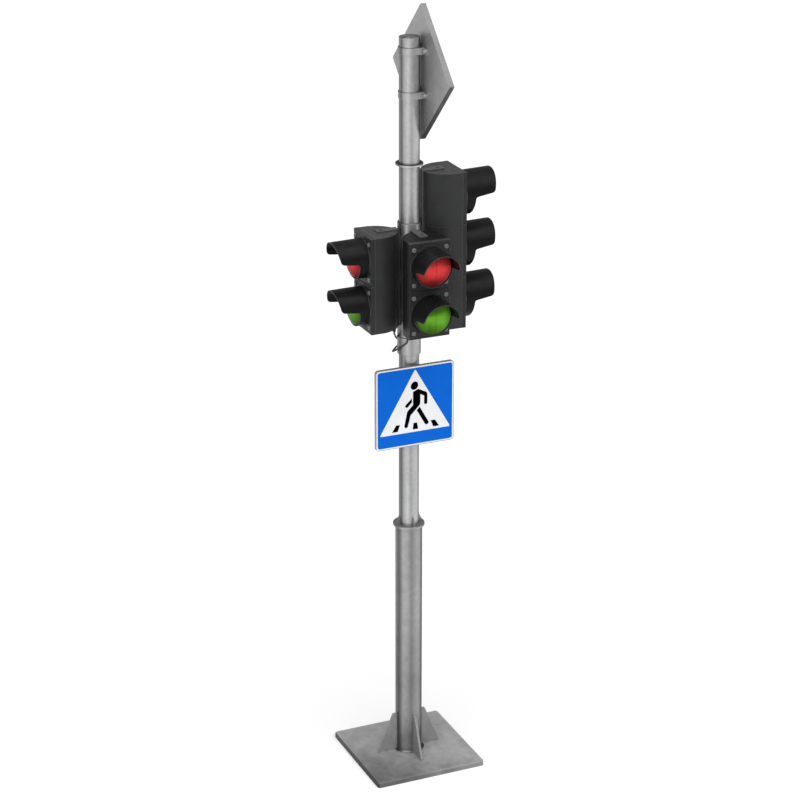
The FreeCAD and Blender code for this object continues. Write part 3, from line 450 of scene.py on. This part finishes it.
MAT = {
    # Galvanised steel
    # Foot plate: painted shade on its sides facing -X and -Y, and towards its corner at -X and -Y.
    "foot": galvanised("galvanised_foot", 0.35, metal=0.30, spangle=46.0, stain=0.55, corner_shade=0.46,
                       shades=(("X", -0.4, -0.8, 0.26), ("Y", -0.4, -0.8, 0.75))),
    # Gussets: a darker copy of the foot plate's steel, for painted shade on their faces.
    "gusset": galvanised("galvanised_gusset_shaded", 0.285, metal=0.30, spangle=46.0, stain=0.45,
                         edge=1.7),
    "tube": galvanised("galvanised_tube", 0.36, metal=0.80, spangle=46.0, stain=0.45, edge=1.3,
                       heights=FOOT_HEIGHTS, **FOOT_SKIN),
    "flange": galvanised("galvanised_flange", 0.36, metal=0.60, spangle=46.0, stain=0.45,
                         edge=1.5, crest=0.6, **FOOT_SKIN),
    "mast": galvanised("galvanised_mast", 0.44, metal=0.80, spangle=60.0, stain=0.30, edge=1.1,
                       **MAST_SKIN),
    "sleeve": galvanised("galvanised_sleeve", 0.42, metal=0.80, spangle=60.0, stain=0.35,
                         edge=1.0, crest=0.35, **MAST_SKIN),
    "ring": galvanised("galvanised_ring", 0.54, metal=0.70, spangle=60.0, stain=0.30, edge=1.1,
                       crest=0.16, **MAST_SKIN),
    "band": galvanised("galvanised_band", 0.43, metal=0.70, spangle=60.0, stain=0.30, edge=1.1,
                       crest=0.14, **MAST_SKIN),
    "saddle": galvanised("galvanised_clamp", 0.42, metal=0.60, spangle=120.0, stain=0.3,
                         crest=0.4),
    "weld": galvanised("weld_zinc", 0.40, metal=0.1, spangle=160.0, stain=0.2),
    "zinc": galvanised("zinc_plate", 0.40, metal=0.4, spangle=200.0, stain=0.15),
    "dark_zinc": galvanised("dark_zinc", 0.06, metal=0.3, spangle=200.0, stain=0.15),
    # Sign back: painted shade on its rims and on faces turned down.
    "sign_back": galvanised("sign_back", 0.40, metal=0.70, spangle=90.0, stain=0.3,
                            rough=TUBE_ROUGH,
                            shades=(("Y", -0.3, -0.6, 0.50), ("Y", 0.3, 0.6, 0.50),
                                    ("Z", -0.2, -0.6, 0.75))),
    # Plastic and coated steel
    "bracket": plastic("bracket_coating", 0.055, rough=(0.42, 0.55), grain=700.0,
                       tint=NEUTRAL, dust=0.45, edge=0.16),
    "head": plastic("head_plastic", 0.024, dust=0.30, edge=0.08),
    # Front head's housing: a darker copy of the head plastic, without dust, for painted shade from
    # the mast and the road head above it.
    "shaded_head": plastic("head_plastic_shaded", 0.008, dust=0.0, edge=0.12, gloss=0.18),
    "door": plastic("door_plastic", 0.022, edge=0.14, gloss=0.18),
    "visor": plastic("visor_plastic", 0.005, rough=(0.36, 0.48), dust=0.04, edge=0.20,
                     gloss=0.12),
    "screw": plastic("screw_plastic", 0.15, rough=(0.35, 0.5), grain=900.0, tint=NEUTRAL,
                     dust=0.1, edge=0.2),
    "unit": plastic("light_unit_plastic", 0.14),
    "gland": plastic("gland_nylon", 0.012, rough=(0.35, 0.45)),
    # Lenses: the colour of the painted shade at the rim and of the painted light in the middle
    "red": lens_material("lens_red", (0.085, 0.006, 0.007), (0.66, 0.046, 0.048)),
    "green": lens_material("lens_green", (0.020, 0.050, 0.003), (0.125, 0.36, 0.026)),
    "amber": lens_material("lens_amber", (0.20, 0.06, 0.004), (0.72, 0.31, 0.018)),
    # Sign sheeting and print
    "white": sheeting("sheeting_white", (0.78, 0.79, 0.81)),
    "blue": sheeting("sheeting_blue", (0.002, 0.122, 0.60), gloss=0.04),
    "yellow": sheeting("sheeting_yellow", (0.80, 0.47, 0.012)),
    "black": sheeting("print_black", (0.0015, 0.0015, 0.0015), rough=0.6, gloss=0.0),
    # Rubber
    "rubber": rubber("grommet_rubber", 0.03),
    "cable": rubber("cable_sheath", 0.022),
}

# CAD nodes by the start of their names, and the material each gets: the first that fits.
NODE_MATERIALS = (
    ("base_plate", "foot"),
    ("base_gussets", "gusset"),
    ("lower_tube", "tube"),
    ("adapter_", "flange"),
    ("mast_collar", "ring"),
    ("mast_", "mast"),
    ("bracket_sleeve", "sleeve"),
    ("bracket_", "bracket"),
    ("housing_front", "shaded_head"),
    ("housing_", "head"),
    ("door_", "door"),
    ("visor_", "visor"),
    ("screws_", "screw"),
    ("led_", "unit"),
    ("hardware_", "dark_zinc"),
    ("cable_gland", "gland"),
    ("cable_grommets", "rubber"),
    ("sign_clamp_studs", "zinc"),
    ("sign_clamp_bands", "band"),
    ("sign_clamp_saddles", "saddle"),
    ("priority_panel", "sign_back"),
    ("crossing_panel", "sign_back"),
)


def dress_nodes():
    """Gives every carried-over CAD node its material."""
    for node_name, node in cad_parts.items():
        for start, key in NODE_MATERIALS:
            if node_name.startswith(start):
                node.data.materials.clear()
                node.data.materials.append(MAT[key])
                break


dress_nodes()

# -------------------------------------------------------------------- mesh helpers


def new_piece(name, bm, mat, body, smooth=True):
    """Makes an object of a bmesh, which rides on a body if one is given."""
    bmesh.ops.recalc_face_normals(bm, faces=bm.faces)
    mesh = bpy.data.meshes.new(name)
    bm.to_mesh(mesh)
    bm.free()
    for face in mesh.polygons:
        face.use_smooth = smooth
    mesh.materials.append(MAT[mat])
    piece = bpy.data.objects.new(name, mesh)
    bpy.context.scene.collection.objects.link(piece)
    if body:
        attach(piece, body)
    return piece


def facing(turn):
    """Turns a head's or a sign's own frame, which faces +X, to its heading about the post."""
    return Matrix.Rotation(math.radians(turn), 4, "Z")


def plate(bm, outline, x, thick, place):
    """Adds a thin plate with a closed outline in a sign's own (across, up) plane."""
    front = [bm.verts.new(place @ Vector((x, a, b))) for a, b in outline]
    back = [bm.verts.new(place @ Vector((x - thick, a, b))) for a, b in outline]
    count = len(outline)
    cap = bm.faces.new(front)
    rear = bm.faces.new(list(reversed(back)))
    for i in range(count):
        j = (i + 1) % count
        bm.faces.new((front[i], back[i], back[j], front[j]))
    cap.normal_update()
    rear.normal_update()
    bmesh.ops.triangulate(bm, faces=[cap, rear], ngon_method="EAR_CLIP")


def round_corners(points, radii, steps=6):
    """Outline with each corner replaced by a tangent arc of its radius."""
    out = []
    count = len(points)
    if not hasattr(radii, "__len__"):
        radii = [radii] * count
    for i in range(count):
        corner = Vector(points[i])
        back = (Vector(points[i - 1]) - corner)
        ahead = (Vector(points[(i + 1) % count]) - corner)
        shorter = min(back.length, ahead.length)
        back.normalize()
        ahead.normalize()
        half = back.angle(ahead) / 2
        trim = min(radii[i] / math.tan(half), 0.49 * shorter)
        radius = trim * math.tan(half)
        if radius < 1e-6:
            out.append(tuple(corner))
            continue
        centre = corner + (back + ahead).normalized() * (radius / math.sin(half))
        start = corner + back * trim - centre
        end = corner + ahead * trim - centre
        first = math.atan2(start.y, start.x)
        sweep = (math.atan2(end.y, end.x) - first + math.pi) % (2 * math.pi) - math.pi
        for k in range(steps + 1):
            angle = first + sweep * k / steps
            out.append((centre.x + radius * math.cos(angle), centre.y + radius * math.sin(angle)))
    return out


# --------------------------------------------------------------------- weld bead


def ring_bead(name, radius, z, size, ripples, body):
    """Rippled weld bead lying in a level ring about the post."""
    bm = bmesh.new()
    steps, section = ripples * 6, 8
    rings = []
    for i in range(steps):
        angle = 2 * math.pi * i / steps
        swell = size * (0.86 + 0.14 * abs(math.cos(angle * ripples / 2)))
        ring = []
        for k in range(section):
            turn = 2 * math.pi * k / section
            out = radius + swell * math.cos(turn)
            ring.append(bm.verts.new((out * math.cos(angle), out * math.sin(angle),
                                      z + swell * math.sin(turn))))
        rings.append(ring)
    for a, b in zip(rings, rings[1:] + rings[:1]):
        for k in range(section):
            j = (k + 1) % section
            bm.faces.new((a[k], a[j], b[j], b[k]))
    return new_piece(name, bm, "weld", body)


ring_bead("foot_weld_toe", radius=0.0887, z=0.0329, size=0.0014, ripples=60, body="post")

# -------------------------------------------------------------------------- cables

# Each cable: its diameter, the body at its upper end (a cable with none rides on the post), and
# its route from there.
CABLES = {
    "cable_side": dict(size=0.009, body="head_side", route=(
        (-0.109, -0.056, 2.529), (-0.109, -0.056, 2.516), (-0.099, -0.036, 2.509),
        (-0.083, -0.004, 2.496), (-0.066, 0.032, 2.473), (-0.049, 0.060, 2.452),
        (-0.033, 0.082, 2.437), (-0.014, 0.091, 2.431), (0.0, 0.082, 2.430),
        (0.0, 0.066, 2.430))),
    "cable_front": dict(size=0.010, body="head_front", route=(
        (-0.056, -0.109, 2.529), (-0.056, -0.109, 2.506), (-0.053, -0.101, 2.480),
        (-0.061, -0.076, 2.457), (-0.075, -0.046, 2.433), (-0.090, -0.012, 2.408),
        (-0.088, 0.015, 2.395), (-0.073, 0.040, 2.391), (-0.052, 0.066, 2.391),
        (-0.034, 0.084, 2.393), (-0.014, 0.092, 2.397), (0.0, 0.082, 2.399),
        (0.0, 0.066, 2.399))),
    "earth_wire": dict(size=0.005, body=None, route=(
        (-0.020, -0.094, 2.516), (-0.020, -0.094, 2.501), (-0.030, -0.086, 2.490),
        (-0.047, -0.071, 2.487), (-0.063, -0.050, 2.489), (-0.075, -0.028, 2.490),
        (-0.0775, -0.0135, 2.488), (-0.073, -0.0064, 2.4865), (-0.06575, -0.00575, 2.4865))),
}


def spline_curve(name, points):
    """A NURBS curve through its control points."""
    curve = bpy.data.curves.new(name, "CURVE")
    curve.dimensions = "3D"
    spline = curve.splines.new("NURBS")
    spline.points.add(len(points) - 1)
    for target, point in zip(spline.points, points):
        target.co = (*point, 1.0)
    spline.order_u = 3
    spline.use_endpoint_u = True
    spline.resolution_u = 10
    return curve


def centre_line(curve):
    """Points along a curve with no bevel, in order."""
    holder = bpy.data.objects.new("line", curve)
    bpy.context.scene.collection.objects.link(holder)
    bpy.context.view_layer.update()
    mesh = bpy.data.meshes.new_from_object(holder)
    points = [v.co.copy() for v in mesh.vertices]
    bpy.data.objects.remove(holder)
    bpy.data.meshes.remove(mesh)
    return points


def tube_mesh(bm, line, radius, sides=16):
    """Sweeps a circle along points without twist."""
    tangents = []
    for i in range(len(line)):
        a = line[max(i - 1, 0)]
        b = line[min(i + 1, len(line) - 1)]
        tangents.append((b - a).normalized())
    normal = tangents[0].orthogonal().normalized()
    rings = []
    for point, tangent in zip(line, tangents):
        normal = (normal - tangent * normal.dot(tangent)).normalized()
        side = tangent.cross(normal)
        ring = []
        for k in range(sides):
            angle = 2 * math.pi * k / sides
            offset = normal * math.cos(angle) + side * math.sin(angle)
            ring.append(bm.verts.new(point + offset * radius))
        rings.append(ring)
    for a, b in zip(rings, rings[1:]):
        for k in range(sides):
            j = (k + 1) % sides
            bm.faces.new((a[k], a[j], b[j], b[k]))
    bm.faces.new(list(reversed(rings[0])))
    bm.faces.new(rings[-1])


def make_cable(name, data):
    """A cable tube along its route, in place of the CAD cable; one with no head body rides on the
    post."""
    line = centre_line(spline_curve(name + "_line", data["route"]))
    bm = bmesh.new()
    tube_mesh(bm, line, data["size"] / 2)
    piece = new_piece(name + "_sheath", bm, "cable", None)
    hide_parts(name)
    if data["body"]:
        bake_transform(piece)
    else:
        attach(piece, "post")


for cable_name, cable_data in CABLES.items():
    make_cable(cable_name, cable_data)

# --------------------------------------------------------------------------- signs

PRINT_THICK = 0.0003


def print_layer(name, outlines, mat, slot, x, z, turn, level=1):
    """Thin printed film on a sign's face; level counts the films from the sheet up."""
    bm = bmesh.new()
    place = Matrix.Translation((0, 0, z)) @ facing(turn)
    for outline in outlines:
        plate(bm, outline, x + level * PRINT_THICK, PRINT_THICK, place)
    return new_piece(name, bm, mat, "post", smooth=False)


def square(half):
    """Corners of a square about the sign's middle."""
    return [(-half, -half), (half, -half), (half, half), (-half, half)]


def diamond(half):
    """Corners of a square that stands on one of them."""
    return [(0.0, half), (-half, 0.0), (0.0, -half), (half, 0.0)]


def ellipse(centre, major, minor, tilt, count=40):
    """Outline of a tilted ellipse."""
    out = []
    for k in range(count):
        angle = 2 * math.pi * k / count
        a, b = major * math.cos(angle), minor * math.sin(angle)
        out.append((centre[0] + a * math.cos(tilt) - b * math.sin(tilt),
                    centre[1] + a * math.sin(tilt) + b * math.cos(tilt)))
    return out


def millimetres(points):
    """Points given in millimetres, in metres."""
    return [(a / 1000.0, b / 1000.0) for a, b in points]


# Each sign: its face's distance from the post's axis, its middle's height and its heading.
CROSSING = dict(x=0.080, z=2.1077, turn=-90.0, slot="crossing_sign")
PRIORITY = dict(x=0.0887, z=3.882, turn=0.0, slot="priority_sign")

# The walking figure in millimetres from the sign's middle, with the radii of its corners.
TORSO = [(-12.5, 81.5), (17.5, 94.5), (63.5, 71.5), (70.5, 61.5), (70.5, 1.5), (51.5, 1.5),
         (51.5, 51.5), (30.0, 63.5), (29.5, 9.0), (19.5, -4.5), (-25.5, -49.0), (-44.0, -119.5),
         (-64.0, -115.0), (-46.0, -26.0), (-12.5, 6.5)]
TORSO_R = [3, 4, 9, 7, 9, 9, 2, 1, 5, 9, 8, 10, 10, 8, 3]
REAR_ARM = [(-18.5, 46.0), (-18.5, 24.0), (-47.5, -7.0), (-61.0, 7.0)]
REAR_ARM_R = [0.5, 2, 9, 9]
REAR_LEG = [(26.0, -8.0), (82.0, -106.5), (62.5, -119.5), (9.0, -25.0)]
REAR_LEG_R = [0.5, 10.5, 10.5, 1]
BARS = ([(-109.5, -94.0), (-87.0, -94.0), (-100.0, -131.5), (-133.0, -131.5)],
        [(-9.5, -95.0), (11.5, -95.0), (17.5, -131.5), (-13.5, -131.5)],
        [(90.0, -95.5), (115.5, -95.5), (139.0, -132.5), (105.5, -132.5)])


def crossing_sign():
    """Blue square with a white border, white triangle and a walking figure on bars."""
    print_layer("crossing_border", [round_corners(square(0.2222), 0.0155, 8)], "white",
                level=1, **CROSSING)
    print_layer("crossing_field", [round_corners(square(0.2148), 0.012, 8)], "blue",
                level=2, **CROSSING)
    triangle = millimetres([(0.0, 207.5), (203.5, -145.5), (-203.5, -145.5)])
    print_layer("crossing_triangle", [round_corners(triangle, 0.005, 6)], "white",
                level=3, **CROSSING)
    figure = [round_corners(millimetres(TORSO), [r / 1000 for r in TORSO_R], 5),
              round_corners(millimetres(REAR_ARM), [r / 1000 for r in REAR_ARM_R], 6),
              round_corners(millimetres(REAR_LEG), [r / 1000 for r in REAR_LEG_R], 6),
              ellipse((-0.0043, 0.1155), 0.0240, 0.0206, math.radians(58))]
    figure += [millimetres(bar) for bar in BARS]
    print_layer("crossing_figure", figure, "black", level=4, **CROSSING)


def priority_sign():
    """Yellow diamond with a white border and a thin black outline."""
    print_layer("priority_border", [round_corners(diamond(0.3475), 0.004, 6)], "white",
                level=1, **PRIORITY)
    print_layer("priority_outline", [round_corners(diamond(0.222), 0.006, 6)], "black",
                level=2, **PRIORITY)
    print_layer("priority_field", [round_corners(diamond(0.212), 0.004, 6)], "yellow",
                level=3, **PRIORITY)


crossing_sign()
priority_sign()

# -------------------------------------------------------------------------- lenses


LENS_OUT = 0.046        # from the door's face to the shoulder of the dome
LENS_CROWN = 0.033      # from the shoulder to the tip
LENS_INSET = 0.0085     # the dome's radius is this much under the hood's
LENS_WALL = 0.004
INSIDE_GAP = 0.0045     # the inside's radius is this much under the dome's
LENS_STEP = 0.00025     # depth of the concentric steps
FLANGE_OUT = 0.005      # how far the flange stands out of the dome's wall, and into it
FLANGE_IN = 0.0042
FLANGE_BACK, FLANGE_FRONT = -0.0088, -0.0042
DOME_RINGS = 44
RIM_RINGS = 10          # rings with steps of full depth
LENS_SIDES = 72


def lens_profile(radius):
    """Section of a lens as (distance out of the door, radius) points, closed on itself."""
    rim = radius + FLANGE_OUT
    skirt = [(FLANGE_BACK, radius - FLANGE_IN), (FLANGE_BACK, rim), (FLANGE_FRONT, rim),
             (FLANGE_FRONT, radius)]
    dome = []
    for i in range(DOME_RINGS + 1):
        angle = math.pi / 2 * i / DOME_RINGS
        x = LENS_OUT + LENS_CROWN * math.sin(angle)
        if i:
            x -= LENS_STEP * (i % 2) * (1 if i < RIM_RINGS else 0.4)
        dome.append((x, max(radius * math.cos(angle), 0.0002)))
    inside = [(x - LENS_WALL, r) for x, r in reversed(dome) if r < radius - INSIDE_GAP]
    return skirt + dome + inside


def lens(head, index, light):
    """Moulded lens: crowned front with fine concentric steps near its rim, and a back."""
    data = HEADS[head]
    z = data["bottom"] + (len(data["lights"]) - 0.5 - index) * data["pitch"]
    radius = data["hood"] - LENS_INSET
    rim = radius + FLANGE_OUT
    bm = bmesh.new()
    across_up = {}
    place = (Matrix.Translation((0, 0, z)) @ facing(data["turn"])
             @ Matrix.Translation((data["face"], 0, 0)))
    loops = []
    for x, r in lens_profile(radius):
        loop = []
        for k in range(LENS_SIDES):
            angle = 2 * math.pi * k / LENS_SIDES
            point = Vector((x, r * math.cos(angle), r * math.sin(angle)))
            vertex = bm.verts.new(place @ point)
            across_up[vertex] = (0.5 + point.y / (2 * rim), 0.5 + point.z / (2 * rim))
            loop.append(vertex)
        loops.append(loop)
    loops.append(loops[0])
    for a, b in zip(loops, loops[1:]):
        for k in range(LENS_SIDES):
            j = (k + 1) % LENS_SIDES
            bm.faces.new((a[k], a[j], b[j], b[k]))
    layer = bm.loops.layers.uv.new("lens")
    for face in bm.faces:
        for corner in face.loops:
            corner[layer].uv = across_up[corner.vert]
    label = head + "_" + light
    colour = {"upper": "red", "middle": "amber", "lower": "green"}[light]
    piece = new_piece("lens_dome_" + label, bm, colour, "door_" + label)
    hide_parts("lens_" + label)


for head_name, head_data in HEADS.items():
    for light_index, light_name in enumerate(head_data["lights"]):
        lens(head_name, light_index, light_name)

# --------------------------------------------------------------- floor, light, end


FLOOR_HALF = 400.0
FLOOR_TONE = 0.86


def make_floor():
    """Plain pale floor, far wider than any view of the post."""
    bm = bmesh.new()
    bmesh.ops.create_grid(bm, x_segments=1, y_segments=1, size=FLOOR_HALF)
    mesh = bpy.data.meshes.new("floor")
    bm.to_mesh(mesh)
    bm.free()
    floor = bpy.data.objects.new("floor", mesh)
    bpy.context.scene.collection.objects.link(floor)
    mat, _, shader = material("floor_paint")
    shader.inputs["Base Color"].default_value = (FLOOR_TONE, FLOOR_TONE, FLOOR_TONE, 1.0)
    shader.inputs["Roughness"].default_value = 0.9
    shader.inputs["Specular IOR Level"].default_value = 0.1
    mesh.materials.append(mat)


def sun(name, strength, spread, azimuth, elevation):
    """Soft sun whose light comes from a compass azimuth (0 is +Y) and elevation."""
    data = bpy.data.lights.new(name, "SUN")
    data.energy = strength
    data.angle = math.radians(spread)
    lamp = bpy.data.objects.new(name, data)
    a, e = math.radians(azimuth), math.radians(elevation)
    source = Vector((math.sin(a) * math.cos(e), math.cos(a) * math.cos(e), math.sin(e)))
    lamp.rotation_euler = (-source).to_track_quat("-Z", "Y").to_euler()
    bpy.context.scene.collection.objects.link(lamp)


def make_light():
    """White surroundings and one broad soft key light from above and behind the camera."""
    world = bpy.data.worlds.new("studio")
    world.use_nodes = True
    background = world.node_tree.nodes["Background"]
    background.inputs["Color"].default_value = (1.0, 1.0, 1.0, 1.0)
    background.inputs["Strength"].default_value = 0.36
    bpy.context.scene.world = world
    sun("key", strength=3.15, spread=70.0, azimuth=195.0, elevation=64.0)
    bpy.context.scene.view_settings.view_transform = "Standard"


make_floor()
make_light()
